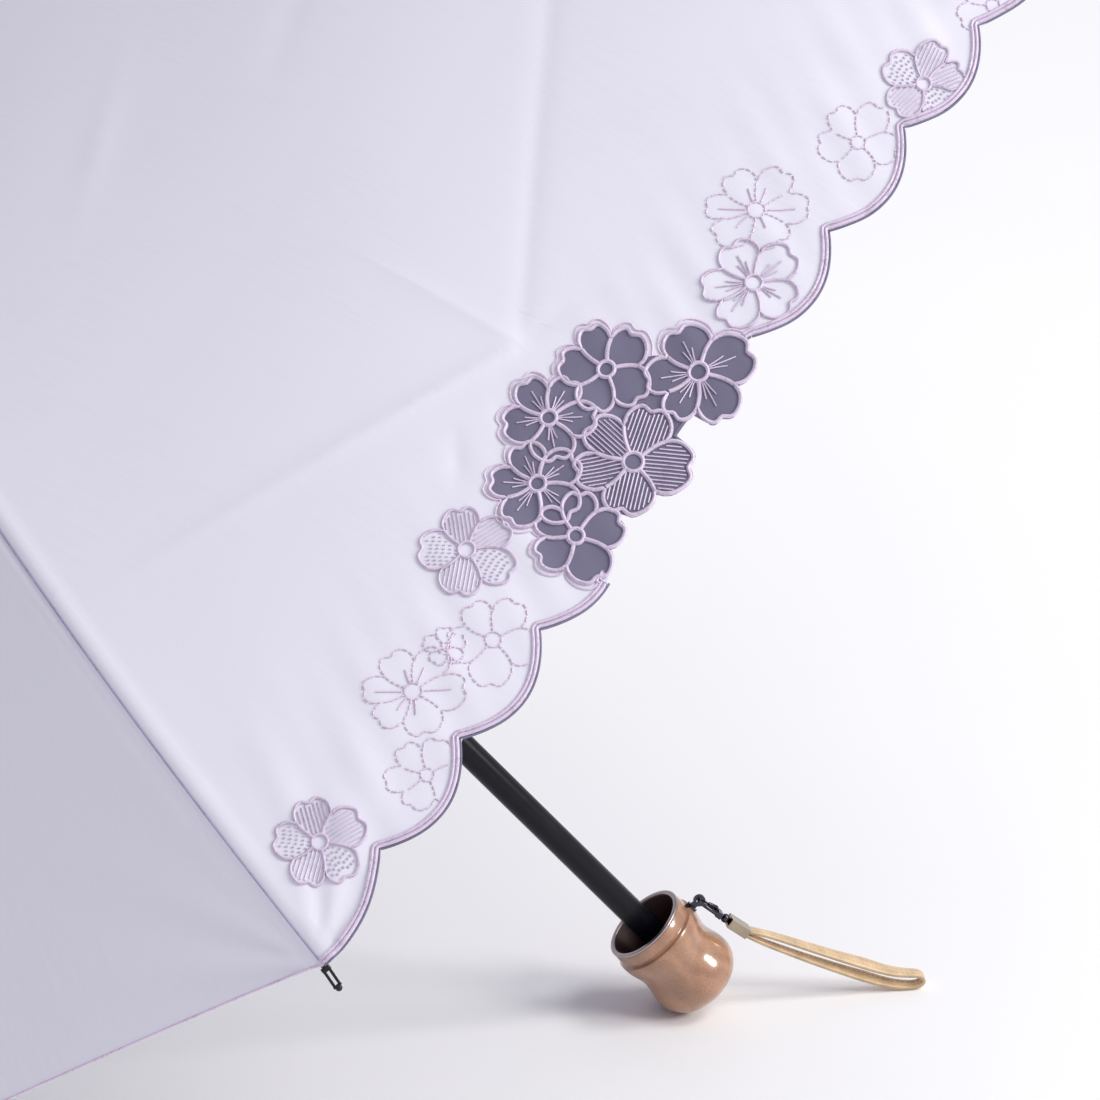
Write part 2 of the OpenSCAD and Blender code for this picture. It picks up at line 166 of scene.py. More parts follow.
# Flowers: across from the panel's middle line, up from the arc between the ribs' ends, kind, and
# each petal's direction in degrees and length.
FLOWERS = [
    (-207, 28, "satin", [(51, 17.5), (117, 17.5), (201, 17.5), (251, 18.5), (336, 18.5)]),
    (-164, 10, "running", [(19, 15), (73, 15), (135, 17), (188, 14), (280, 15)]),
    (-141, 33, "veined", [(66, 18), (124, 20), (165, 18), (232, 18), (308, 21), (0, 20)]),
    (-120, 33, "running", [(40, 8), (110, 9), (180, 8), (260, 8), (330, 8)]),
    (-108, 20, "running", [(6, 18), (66, 17), (127, 18), (213, 19), (290, 17)]),
    (-85, 49, "satin", [(44, 17.5), (121, 18.5), (206, 18.5), (276, 21), (338, 18.5)]),
    (62, 20, "outline", [(63, 19), (130, 21), (179, 20), (274, 18), (343, 20)]),
    (87, 36, "veined", [(65, 19), (119, 21), (156, 20), (250, 17), (305, 22), (0, 20)]),
    (131, 19, "running", [(7, 18), (69, 17), (124, 16), (214, 16), (290, 16)]),
    (165, 12, "satin", [(10, 18.5), (91, 17.5), (169, 16.5), (250, 16.5), (328, 16.5)]),
    (207, 8, "running", [(20, 15), (85, 15), (150, 15), (225, 15), (300, 15)]),
]
CUT_FLOWERS = [
    (-49, 42, "stamens", [(58, 18), (120, 19), (179, 19), (262, 19), (341, 18)]),
    (3, 47, "open", [(0, 19), (55, 20), (110, 19), (201, 18), (258, 19)]),
    (21, 17, "stamens", [(60, 20), (133, 21), (185, 21), (241, 22.5), (327, 22.5)]),
    (-25, 54, "stamens", [(6, 18), (65, 19), (132, 18), (226, 18), (304, 19)]),
    (-58, 18, "open", [(30, 18), (95, 17), (155, 17), (241, 20), (323, 19)]),
    (-22, 17, "hatched", [(16, 23.5), (81, 23.5), (135, 23.5), (202, 21), (298, 23.5)]),
]
# Net that shows between the cut-work's flowers, its dark colour partly painted shade of the hollow behind it:
# across, up, radius.
CUT_GAPS = [(-3, 31, 12), (-39, 29, 9), (-33, 38, 8), (12, 32, 6), (-14, 40, 5), (4, 24, 10),
            (0, 13, 7), (-40, 10, 8), (-43, 18, 6)]
# The hem where no cut-work flower reaches it: places across, and their rise.
CUT_END = ((CUT_TO - 3, CUT_TO), (10.0, 8.7))
CUT_WINDOW = 0.35
# A petal's outline: its radius at the clefts and the rest of it, as shares of the tip's, how full
# the lobe is, and the depth and half-width in degrees of the tip's notch.
CLEFT_SHARE, LOBE_SHARE, LOBE_POWER, TIP_DEPTH, TIP_WIDTH = 0.58, 0.42, 0.55, 0.11, 6.5


def petal_reach(petals, turn):
    """Radius of a flower's outline at those directions, in degrees, its petals notched at the tips."""
    petals = sorted(petals)
    ways = [petals[-1][0] - 360] + [p[0] for p in petals] + [petals[0][0] + 360]
    longs = [petals[-1][1]] + [p[1] for p in petals] + [petals[0][1]]
    turn = np.asarray(turn, float) % 360
    clefts = [(low + high) / 2 for low, high in zip(ways, ways[1:])]
    turn = np.where(turn >= clefts[-1], turn - 360, turn)
    turn = np.where(turn < clefts[0], turn + 360, turn)
    reach = np.zeros_like(turn)
    for k in range(len(petals)):
        low, way, high = clefts[k], ways[k + 1], clefts[k + 1]
        inside = (turn >= low) & (turn < high)
        share = np.where(turn < way, (way - turn) / (way - low), (turn - way) / (high - way))
        lobe = np.clip(np.cos(share * math.pi / 2), 0, 1) ** LOBE_POWER
        notch = TIP_DEPTH * np.exp(-((turn - way) / TIP_WIDTH) ** 2)
        shape = CLEFT_SHARE + LOBE_SHARE * lobe - notch
        size = np.interp(turn, ways, longs)
        reach = np.where(inside, size * shape, reach)
    return reach


def polar(flower, turn, reach):
    """Points at those directions, in degrees, and distances from the flower's middle."""
    turn = np.radians(turn)
    return np.stack([flower[0] + reach * np.cos(turn), flower[1] + reach * np.sin(turn)], -1)


def flower_line(flower, points=110):
    turn = np.linspace(0, 360, points, endpoint=False)
    return polar(flower, turn, petal_reach(flower[3], turn))


def cut_edge():
    """Lower edge of the cut-work, in millimetres up, at every half millimetre across."""
    across = np.arange(CUT_FROM - 2, CUT_TO + 3, 0.5)
    low = np.interp(across, *CUT_END)
    for flower in CUT_FLOWERS:
        points = flower_line(flower, 720)
        for k, x in enumerate(across):
            near = np.abs(points[:, 0] - x) < CUT_WINDOW
            if near.any():
                low[k] = min(low[k], points[near, 1].min())
    return across, low


CUT_ACROSS, CUT_LOW = cut_edge()

# Packing creases, as broken lines of [across, along, height] in millimetres, from the panel's middle
# line and the dome's top. The main ones run from one point, and each dies away at its far end.
CREASES = [
    [(-6, 486, -0.7), (60, 445, -0.9), (118, 410, -0.8), (138, 394, 0)],
    [(-6, 486, 0.5), (-6, 440, 0.5), (-7, 394, 0)],
    [(-6, 486, 1.3), (-46, 467, 1.5), (-84, 449, 1.2), (-130, 427, 0.7), (-179, 405, 0)],
    [(-6, 486, -0.8), (16, 492, -0.5), (34, 504, 0)],
    [(-26, 490, 0), (-34, 498, -0.8), (-48, 508, 0)],
    [(-44, 484, 0), (-58, 494, -0.9), (-74, 506, 0)],
    [(-60, 300, 0), (-10, 275, 0.7), (40, 250, 0)],
    [(30, 330, 0), (70, 315, -0.6), (110, 300, 0)],
]
# A crease falls off over this width, and its crest is rounded by the second.
CREASE_W, CREASE_ROUND = 4.0, 0.7
# A plain gore's hem bows out by this much at its middle; an embroidered gore's last scallop, at the
# corner, is this share as deep as the others.
PLAIN_BOW = 4.4
LAST_SCALLOP = 0.5


def hem_up(embroidered, x):
    """How far the hem stands up the dome from the arc between the ribs' ends, at x across."""
    s = sizes()
    across = np.asarray(x) / MM
    far = np.abs(across)
    if not embroidered:
        return PLAIN_BOW * MM * (1 - np.clip(far / NOTCHES[-1], 0, 1) ** 2) ** 0.7
    stops = [0] + NOTCHES
    up = np.interp(far, stops, [s.notch_up] * (len(stops) - 1) + [0])
    for low, high in zip(stops[:-1], stops[1:]):
        t = (far - low) / (high - low)
        deep = s.scallop * (LAST_SCALLOP if high == NOTCHES[-1] else 1.0)
        up = np.where((t >= 0) & (t <= 1), up - deep * (1 - (2 * t - 1) ** 2), up)
    inside = (across > CUT_FROM) & (across < CUT_TO)
    return np.where(inside, np.interp(across, CUT_ACROSS, CUT_LOW) * MM, up)


def hem_angle(dome, embroidered, x):
    return dome.rim - hem_up(embroidered, x) / dome.rho


def crease_height(x, along):
    """Soft ridges and furrows along the packing creases."""
    x, along = x / MM, along / MM
    height = np.zeros_like(x)
    for line in CREASES:
        nearest = np.full_like(x, np.inf)
        tall = np.zeros_like(x)
        for (x0, y0, tall0), (x1, y1, tall1) in zip(line, line[1:]):
            dx, dy = x1 - x0, y1 - y0
            t = np.clip(((x - x0) * dx + (along - y0) * dy) / (dx * dx + dy * dy), 0, 1)
            gap = np.hypot(x - x0 - t * dx, along - y0 - t * dy)
            tall = np.where(gap < nearest, tall0 + (tall1 - tall0) * t, tall)
            nearest = np.minimum(gap, nearest)
        height = height + tall * np.exp(-(np.hypot(nearest, CREASE_ROUND) - CREASE_ROUND) / CREASE_W)
    return height * MM


def relief(dome, panel, x, a):
    """Outward height of folds, puckers and seams on one panel."""
    embroidered = panel % 2 == 1
    along = dome.rho * a
    half = dome.half(a)
    edge = np.maximum(half - np.abs(x), 0) / MM
    reach = dome.rho * dome.rim - along
    calm = np.clip(edge / 12, 0, 1)
    phase = panel * 1.7
    # Heights are millimetres, and lengths metres. First the cloth's slow waves.
    soft = 0.9 * np.sin(along / 0.083 + phase) * np.cos(x / 0.061 + phase)
    soft = soft + 0.5 * np.sin((along + 0.7 * x) / 0.034 + phase)
    # Puckers above the embroidery, pulls that fan out from the corner, and the seam's ridge and groove.
    pucker = np.sin((along + 1.9 * x) / 0.0052) + np.sin((along - 1.4 * x) / 0.0068 + 2)
    pucker = pucker + np.sin((0.6 * along + 2.3 * x) / 0.0094 + 4)
    near_hem = np.exp(-((reach / MM - 30) / 34) ** 2) * (0.2 if embroidered else 0.05)
    corner = np.hypot(half - np.abs(x), reach)
    turn = np.arctan2(reach, half - np.abs(x) + 1e-6)
    pull = 0.9 * np.sin(turn * 11 + phase) * np.exp(-corner / 0.05) * np.clip(corner / 0.012, 0, 1)
    ridge = 0.7 * np.exp(-((edge - 5) / 2.6) ** 2) - 0.9 * np.exp(-(edge / 1.1) ** 2)
    height = (calm * (soft + pucker * near_hem + pull) + ridge) * MM
    if embroidered:
        height = height + calm * crease_height(x, along)
    else:
        height = height + calm * 0.5 * crease_height(-x, along + 30 * MM)
    fade = np.clip((a - dome.apex) / 0.08, 0, 1)
    return height * fade


def on_cloth(dome, panel, x, a, lift=0.0):
    """Row-frame points on a panel's outer face, or lift above it."""
    half = dome.half(a)
    u = np.clip(x / half, -1, 1)
    v = (a - dome.apex) / (dome.rim - dome.apex)
    depth = sizes().panel_dip * np.sin(math.pi * np.clip(v, 0, 1)) * (1 - u * u)
    depth = depth - relief(dome, panel, x, a) - lift
    px = dome.rho * np.sin(a) * math.cos(HALF) - depth * np.sin(a) * np.cos(HALF * u)
    py = x - depth * np.sin(a) * np.sin(HALF * u)
    pz = dome.arc_z + dome.rho * np.cos(a) - depth * np.cos(a)
    turn = STEP * panel
    return to_row(dome, px * math.cos(turn) - py * math.sin(turn),
                  px * math.sin(turn) + py * math.cos(turn), pz)


# ---- Meshes ----

def add_object(name, mesh, *materials):
    obj = bpy.data.objects.new(name, mesh)
    bpy.context.scene.collection.objects.link(obj)
    for material in materials:
        mesh.materials.append(material)
    return obj


def mesh_from(bm, name):
    mesh = bpy.data.meshes.new(name)
    bm.to_mesh(mesh)
    bm.free()
    return mesh


def apply_modifiers(obj):
    """Gives the object the mesh that its modifiers make, smooth but for its sharp edges."""
    graph = bpy.context.evaluated_depsgraph_get()
    mesh = bpy.data.meshes.new_from_object(obj.evaluated_get(graph))
    obj.modifiers.clear()
    old = obj.data
    obj.data = mesh
    bpy.data.meshes.remove(old)
    smooth(mesh, 40)


def smooth(mesh, angle):
    """Smooth shading, but for edges past the angle, in degrees."""
    mesh.polygons.foreach_set("use_smooth", [True] * len(mesh.polygons))
    mesh.set_sharp_from_angle(angle=math.radians(angle))


def lathe(name, profile, materials, sides=96, inner_from=None):
    """A solid of revolution about the shaft's axis; profile is [radius, height] in millimetres.

    Faces nearer the axis than inner_from(height) take the second material.
    """
    bm = bmesh.new()
    ring = [bm.verts.new((r * MM, 0, h * MM)) for r, h in profile]
    edges = [bm.edges.new(pair) for pair in zip(ring, ring[1:] + ring[:1])]
    bmesh.ops.spin(bm, geom=ring + edges, cent=(0, 0, 0), axis=(0, 0, 1), angle=2 * math.pi,
                   steps=sides, use_merge=True, use_duplicate=False)
    bmesh.ops.remove_doubles(bm, verts=bm.verts, dist=1e-7)
    bmesh.ops.recalc_face_normals(bm, faces=bm.faces)
    if inner_from:
        for face in bm.faces:
            centre = face.calc_center_median()
            if math.hypot(centre.x, centre.y) < inner_from(centre.z) and face.normal.dot(centre) < 0.2:
                face.material_index = 1
    dome = Dome()
    basis = Matrix((RAISED, ACROSS, AXIS)).transposed().to_4x4()
    bmesh.ops.transform(bm, matrix=Matrix.Translation(dome.origin) @ basis, verts=bm.verts)
    mesh = mesh_from(bm, name)
    smooth(mesh, 35)
    return add_object(name, mesh, *materials)


def rounded(profile, radius, steps=3):
    """The closed profile with its corners cut to arcs of about that radius."""
    out = []
    count = len(profile)
    for k in range(count):
        here = Vector(profile[k])
        before = Vector(profile[k - 1]) - here
        after = Vector(profile[(k + 1) % count]) - here
        cut = min(radius, before.length * 0.45, after.length * 0.45)
        start = here + before.normalized() * cut
        end = here + after.normalized() * cut
        for j in range(steps + 1):
            t = j / steps
            out.append(start * (1 - t) ** 2 + here * 2 * t * (1 - t) + end * t * t)
    return [(max(p.x, 0.0), p.y) for p in out]


def threads(name, lines, radius, material, resolution=1):
    """Round threads along lists of row-frame points, as one mesh."""
    curve = bpy.data.curves.new(name, "CURVE")
    curve.dimensions = "3D"
    curve.bevel_depth = radius
    curve.bevel_resolution = resolution
    curve.use_fill_caps = True
    for points, closed in lines:
        spline = curve.splines.new("POLY")
        spline.points.add(len(points) - 1)
        spline.points.foreach_set("co", np.append(points, np.ones((len(points), 1)), axis=1).ravel())
        spline.use_cyclic_u = closed
    source = bpy.data.objects.new(name, curve)
    bpy.context.scene.collection.objects.link(source)
    graph = bpy.context.evaluated_depsgraph_get()
    mesh = bpy.data.meshes.new_from_object(source.evaluated_get(graph))
    bpy.data.objects.remove(source)
    bpy.data.curves.remove(curve)
    mesh.materials.clear()
    smooth(mesh, 60)
    return add_object(name, mesh, material)


def patches(name, grids, material):
    """Thin filled shapes, each a grid of row-frame points from its middle out to its rim."""
    bm = bmesh.new()
    for grid in grids:
        rings, sectors = grid.shape[:2]
        made = bmesh.ops.create_grid(bm, x_segments=sectors - 1, y_segments=rings - 1, size=0.5)
        for vert in made["verts"]:
            row = round((vert.co.y + 0.5) * (rings - 1))
            column = round((vert.co.x + 0.5) * (sectors - 1))
            vert.co = grid[row, column]
        bmesh.ops.remove_doubles(bm, verts=made["verts"], dist=1e-7)
    bmesh.ops.recalc_face_normals(bm, faces=bm.faces)
    mesh = mesh_from(bm, name)
    if sum(p.normal.dot(AXIS) for p in mesh.polygons) < 0:
        mesh.flip_normals()
    smooth(mesh, 80)
    return add_object(name, mesh, material)


# ---- Materials ----

# Height of the grain on every surface that has one.
BUMP = 0.0002


def add_node(material, kind, links=(), outputs=(), **settings):
    """Adds a node, sets its properties or input values, and links its inputs and outputs."""
    tree = material.node_tree
    node = tree.nodes.new(kind)
    for key, value in settings.items():
        if key in node.inputs:
            node.inputs[key].default_value = value
        elif key.replace("_", " ") in node.inputs:
            node.inputs[key.replace("_", " ")].default_value = value
        else:
            setattr(node, key, value)
    for name, source in links:
        tree.links.new(source, node.inputs[name])
    for source, target in outputs:
        tree.links.new(node.outputs[source], target)
    return node


def surface(name, **settings):
    """A material with one Principled shader, and that shader."""
    material = bpy.data.materials.new(name)
    material.use_nodes = True
    shader = material.node_tree.nodes["Principled BSDF"]
    for key, value in settings.items():
        shader.inputs[key.replace("_", " ")].default_value = value
    return material, shader


def ramp(material, source, *stops):
    """A colour ramp with the given (place, hex) stops."""
    node = add_node(material, "ShaderNodeValToRGB", links=[("Fac", source)])
    points = node.color_ramp.elements
    while len(points) < len(stops):
        points.new(0.5)
    for point, (place, code) in zip(points, stops):
        point.position = place
        point.color = srgb(code)
    return node.outputs["Color"]


def shade(code, factor):
    """The hex colour made lighter or darker."""
    channels = [min(255, round(int(code[k:k + 2], 16) * factor)) for k in (0, 2, 4)]
    return "".join(f"{c:02x}" for c in channels)


def coords_of(material, kind="Object"):
    return add_node(material, "ShaderNodeTexCoord").outputs[kind]


def noise(material, coords, scale, detail):
    node = add_node(material, "ShaderNodeTexNoise", [("Vector", coords)], Scale=scale, Detail=detail)
    return node.outputs["Fac"]


def maths(material, operation, first, second):
    return add_node(material, "ShaderNodeMath", [(0, first), (1, second)], operation=operation).outputs[0]


def paint(material, shader, colour):
    material.node_tree.links.new(colour, shader.inputs["Base Color"])


def bump(material, shader, height, strength):
    add_node(material, "ShaderNodeBump", [("Height", height)], [("Normal", shader.inputs["Normal"])],
             Strength=strength, Distance=BUMP)


def taffeta(name, code, rough):
    """Polyester taffeta, plain weave, calendered: a soft satin glow and a faint cross grain."""
    m, bsdf = surface(name, Roughness=rough, IOR=1.46, Sheen_Weight=0.15, Sheen_Roughness=0.4)
    coords = coords_of(m, "UV")
    # Threads 1 mm apart, drawn three times coarser than the real ones so that they show.
    warp, weft = [
        add_node(m, "ShaderNodeTexWave", [("Vector", coords)], bands_direction=way, Scale=320.0,
                 Distortion=1.5, Detail=2.0).outputs["Fac"] for way in ("X", "Y")]
    weave = maths(m, "MULTIPLY", warp, weft)
    slub_map = add_node(m, "ShaderNodeMapping", [("Vector", coords)], Scale=(700.0, 35.0, 1.0))
    slub = noise(m, slub_map.outputs[0], 1.0, 3.0)
    mix = maths(m, "ADD", slub, noise(m, coords, 14.0, 3.0))
    paint(m, bsdf, ramp(m, mix, (0.7, shade(code, 0.994)), (1.3, shade(code, 1.004))))
    bump(m, bsdf, weave, 0.06)
    return m


def coating(name, code):
    """Shade coating on the cloth's inner face, knife-coated: even, dark and slightly matt."""
    m, bsdf = surface(name, Roughness=0.55, IOR=1.48)
    coords = coords_of(m)
    grain = noise(m, coords, 900.0, 3.0)
    cloud = noise(m, coords, 18.0, 2.0)
    paint(m, bsdf, ramp(m, cloud, (0.3, shade(code, 0.92)), (0.7, shade(code, 1.06))))
    bump(m, bsdf, grain, 0.2)
    return m


def satin_thread(name, code):
    """Rayon embroidery thread, satin stitch: silky, with the glint of threads laid side by side."""
    m, bsdf = surface(name, Roughness=0.42, IOR=1.5, Sheen_Weight=0.25)
    coords = coords_of(m)
    # Threads 0.4 mm wide, drawn at about 0.9 mm so that they show.
    twist = noise(m, coords, 1100.0, 2.0)
    mix = maths(m, "ADD", twist, noise(m, coords, 160.0, 2.0))
    paint(m, bsdf, ramp(m, mix, (0.75, shade(code, 0.94)), (1.2, shade(code, 1.07))))
    bump(m, bsdf, twist, 0.3)
    return m


def cherry(name, code):
    """Cherry burl, turned, sanded and lacquered: wavy light grain under a clear gloss coat."""
    m, bsdf = surface(name, Roughness=0.34, IOR=1.5, Coat_Weight=1.0, Coat_Roughness=0.11)
    coords = coords_of(m)
    bend = add_node(m, "ShaderNodeTexNoise", [("Vector", coords)], Scale=55.0, Detail=4.0)
    warped = add_node(m, "ShaderNodeVectorMath", [(0, bend.outputs["Color"])], operation="SCALE", Scale=0.02)
    place = add_node(m, "ShaderNodeVectorMath", [(0, coords), (1, warped.outputs[0])], operation="ADD")
    # Growth rings about 10 mm apart, cut across by the turning.
    rings = add_node(m, "ShaderNodeTexWave", [("Vector", place.outputs[0])], wave_type="BANDS",
                     bands_direction="DIAGONAL", Scale=38.0, Distortion=2.2, Detail=2.0).outputs["Fac"]
    pores = noise(m, coords, 1400.0, 2.0)
    wood = ramp(m, rings, (0.1, shade(code, 0.95)), (0.5, code), (0.9, shade(code, 1.05)))
    flecks = ramp(m, pores, (0.3, "ecdfd6"), (0.5, "ffffff"))
    add_node(m, "ShaderNodeVectorMath", [(0, wood), (1, flecks)],
             [(0, bsdf.inputs["Base Color"])], operation="MULTIPLY")
    bump(m, bsdf, pores, 0.08)
    return m


def painted_bore_shade(name, code):
    """Bore of the wooden cup, sealed: nearly black, painted shade of its deep hollow, with a dull gloss."""
    m, bsdf = surface(name, Roughness=0.5, IOR=1.5)
    grain = noise(m, coords_of(m), 260.0, 4.0)
    paint(m, bsdf, ramp(m, grain, (0.3, shade(code, 0.7)), (0.75, shade(code, 1.3))))
    return m


def hard(name, code, rough, metallic, grit=900.0, ior=1.5):
    """Turned, plated or lacquered metal, or moulded nylon: fine even grain, a little wear in the gloss."""
    m, bsdf = surface(name, Roughness=rough, Metallic=metallic, IOR=ior)
    coords = coords_of(m)
    grain = noise(m, coords, grit, 3.0)
    cloud = noise(m, coords, 90.0, 2.0)
    paint(m, bsdf, ramp(m, cloud, (0.3, shade(code, 0.9)), (0.7, shade(code, 1.1))))
    add_node(m, "ShaderNodeMapRange", [("Value", cloud)],
             [("Result", bsdf.inputs["Roughness"])], To_Min=rough * 0.8, To_Max=rough * 1.25)
    bump(m, bsdf, grain, 0.08)
    return m


def leather(name, code):
    """Calf leather, split, foiled and edge-painted: fine pebbled grain with a soft metallic glow."""
    m, bsdf = surface(name, Roughness=0.4, IOR=1.5, Metallic=0.1)
    coords = coords_of(m)
    pebble = add_node(m, "ShaderNodeTexVoronoi", [("Vector", coords)], Scale=1300.0)
    cloud = noise(m, coords, 150.0, 3.0)
    paint(m, bsdf, ramp(m, cloud, (0.3, shade(code, 0.9)), (0.7, shade(code, 1.06))))
    bump(m, bsdf, pebble.outputs["Distance"], 0.3)
    return m


def paper_white(name):
    """Matt studio sweep, painted: plain, with a very slight unevenness."""
    m, bsdf = surface(name, Roughness=0.7)
    cloud = noise(m, coords_of(m), 3.0, 2.0)
    paint(m, bsdf, ramp(m, cloud, (0.3, "fcfcfd"), (0.7, "fefefe")))
    return m


MATERIALS = {}


def finish_of(key):
    """Each finish, made once."""
    c = colours()
    makers = {
        "cloth": (taffeta, "taffeta_lavender_woven", c.lavender, 0.42),
        "coating": (coating, "taffeta_coating_slate", c.lining),
        # The cut-work's net, its darker slate partly painted shade of the holes' hollow.
        "open_cut": (coating, "cutwork_net_and_painted_shade", shade(c.lining, 0.95)),
        "satin": (satin_thread, "rayon_satin_stitch_pink", c.pink),
        "seam": (satin_thread, "polyester_seam_thread_violet", shade(c.lining, 1.2)),
        "running": (satin_thread, "rayon_running_stitch_mauve", c.pale_pink),
        "wood": (cherry, "cherry_burl_lacquered", c.wood),
        # The bore's near-black colour is painted shade of the cup's hollow.
        "bore": (painted_bore_shade, "cherry_bore_painted_shade", "35150f"),
        "ring": (hard, "aluminium_ring_anodised", "b3a7a6", 0.3, 0.9),
        "gunmetal": (hard, "zinc_gunmetal_plated", "48464d", 0.2, 1.0),
        "gold": (hard, "brass_pale_gold_plated", "a0937f", 0.14, 1.0),
        "shaft": (hard, "steel_tube_black_lacquered", "090a12", 0.3, 0.0, 900.0, 1.33),
        "rib": (hard, "steel_rib_black_lacquered", "141418", 0.38, 0.2),
        "plastic": (hard, "nylon_black_moulded", "202024", 0.5, 0.0, 1500.0),
        "leather": (leather, "leather_gold_foiled", c.leather),
        "edge": (leather, "leather_edge_painted", shade(c.leather, 0.84)),
    }
    if key not in MATERIALS:
        make, *settings = makers[key]
        MATERIALS[key] = make(*settings)
    return MATERIALS[key]


# ---- Folding: which body a piece of canopy goes with ----

def fold_with(obj, dome, panel, side, part):
    """The piece rides on its rib section's body."""
    rib = panel if side < 0 else panel % RIBS + 1
    low, high = dome.spans[part]
    a = np.array([low, (low + high) / 2, high])
    seam = on_cloth(dome, panel, side * dome.half(a), a)
    middle = on_cloth(dome, panel, np.zeros_like(a), a)
    way = Vector(seam[2] - seam[0]).normalized()
    across = Vector(middle[1] - seam[1])
    across -= way * across.dot(way)
    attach(obj, f"{part}_{rib}")
    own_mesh(obj)


def sew_seam(dome, panel):
    """The stitched seam over one rib, a piece for each of the rib's three sections."""
    # It starts past the cap's edge, and ends just before the rib tip.
    stops = {**dome.spans, "inner": (dome.apex * 2.4, dome.knee), "outer": (dome.elbow, dome.rim - 0.003)}
    for part, (low, high) in stops.items():
        a = np.linspace(low, high, 60)
        line = on_cloth(dome, panel, -dome.half(a) * 0.9985, a, 0.55 * MM)
        seam = threads(f"seam_{panel}_{part}", [(line, False)], 0.32 * MM, finish_of("seam"))
        fold_with(seam, dome, panel, -1, part)


# Columns and rows of each part's grid, and the least share of its flat box that a sheet fills.
PARTS = {"inner": (32, 30), "middle": (76, 44), "outer": (124, 66)}
SHEET_FILL = 0.31


def cloth_piece(dome, panel, side, part):
    """Half a panel's cloth along one rib section, from the middle line to the seam."""
    embroidered = panel % 2 == 1
    columns, rows = PARTS[part]
    bm = bmesh.new()
    bmesh.ops.create_grid(bm, x_segments=columns, y_segments=rows, size=0.5)
    if side < 0:
        bmesh.ops.reverse_faces(bm, faces=bm.faces)
    name = f"canopy_{panel}_{SIDES[side]}_{part}"
    mesh = mesh_from(bm, name)
    flat = np.empty(len(mesh.vertices) * 3)
    mesh.vertices.foreach_get("co", flat)
    grid = flat.reshape(-1, 3) + 0.5
    # The outer piece's columns stand closer together over the cut-work.
    u = side * (np.interp(grid[:, 0], [0, 0.5, 1], [0, 0.26, 1]) if part == "outer" else grid[:, 0])
    low, high = dome.spans[part]
    if part == "outer":
        high = hem_angle(dome, embroidered, u * sizes().canopy_r * math.sin(HALF))
    a = low + (high - low) * grid[:, 1]
    x = u * dome.rho * np.sin(a) * math.sin(HALF)
    mesh.vertices.foreach_set("co", on_cloth(dome, panel, x, a).ravel())
    loops = np.empty(len(mesh.loops), dtype=np.int32)
    mesh.loops.foreach_get("vertex_index", loops)
    uv = np.stack([x, dome.rho * a], axis=-1)[loops]
    mesh.uv_layers.new(name="cloth").uv.foreach_set("vector", uv.ravel())
    mesh.update()
    above, on = [on_cloth(dome, panel, x[:1], a[:1], lift)[0] for lift in (0.01, 0.0)]
    if mesh.polygons[0].normal.dot(Vector(above - on)) < 0:
        mesh.flip_normals()
    obj = add_object(name, mesh, finish_of("cloth"), finish_of("coating"))
    shell = obj.modifiers.new("thickness", "SOLIDIFY")
    shell.thickness = sizes().cloth
    shell.offset = -1
    shell.material_offset = 1
    apply_modifiers(obj)
    arc = np.linspace(low, float(np.mean(high)), 60)
    area = float(np.sum(dome.rho * np.diff(arc) * dome.rho * np.sin(arc[1:]) * math.sin(HALF)))
    width = float(np.max(np.abs(x)))
    length = float(dome.rho * (np.max(high) - low))
    area = min(max(area, SHEET_FILL * width * length), width * length)
    if side < 0 and part == "inner":
        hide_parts(f"canopy_{panel}")
    fold_with(obj, dome, panel, side, part)


# ---- Embroidery ----

# Lengths here are millimetres. Thread centres this far up from the hem's edge or more are clear of
# its two cords, and the cords run on a little way under the cut-work.
HEM_CLEAR = 3.0
CORD_OVERLAP = 2
# A patch's directions and rings, fill stitches' pitch and distance from the petal's outline, the
# angle in degrees between a petal's veins, and the cut-work's second outline outside its first.
FILL_TURNS, FILL_RINGS = 73, 7
FILL_PITCH, FILL_MARGIN = 1.55, 1.1
VEIN_FAN = 11
BORDER_GAP = 2.4
# Each kind of stitch: its thread's radius, finish and bevel steps.
THREADS = {
    "satin": (0.84, "satin", 1), "outline": (0.64, "satin", 1), "fine": (0.3, "satin", 0),
    "running": (0.3, "running", 0), "cord": (0.75, "satin", 1), "edge": (0.5, "coating", 1),
    "rim": (0.75, "coating", 0), "hem": (0.5, "running", 0), "border": (0.34, "running", 0),
}


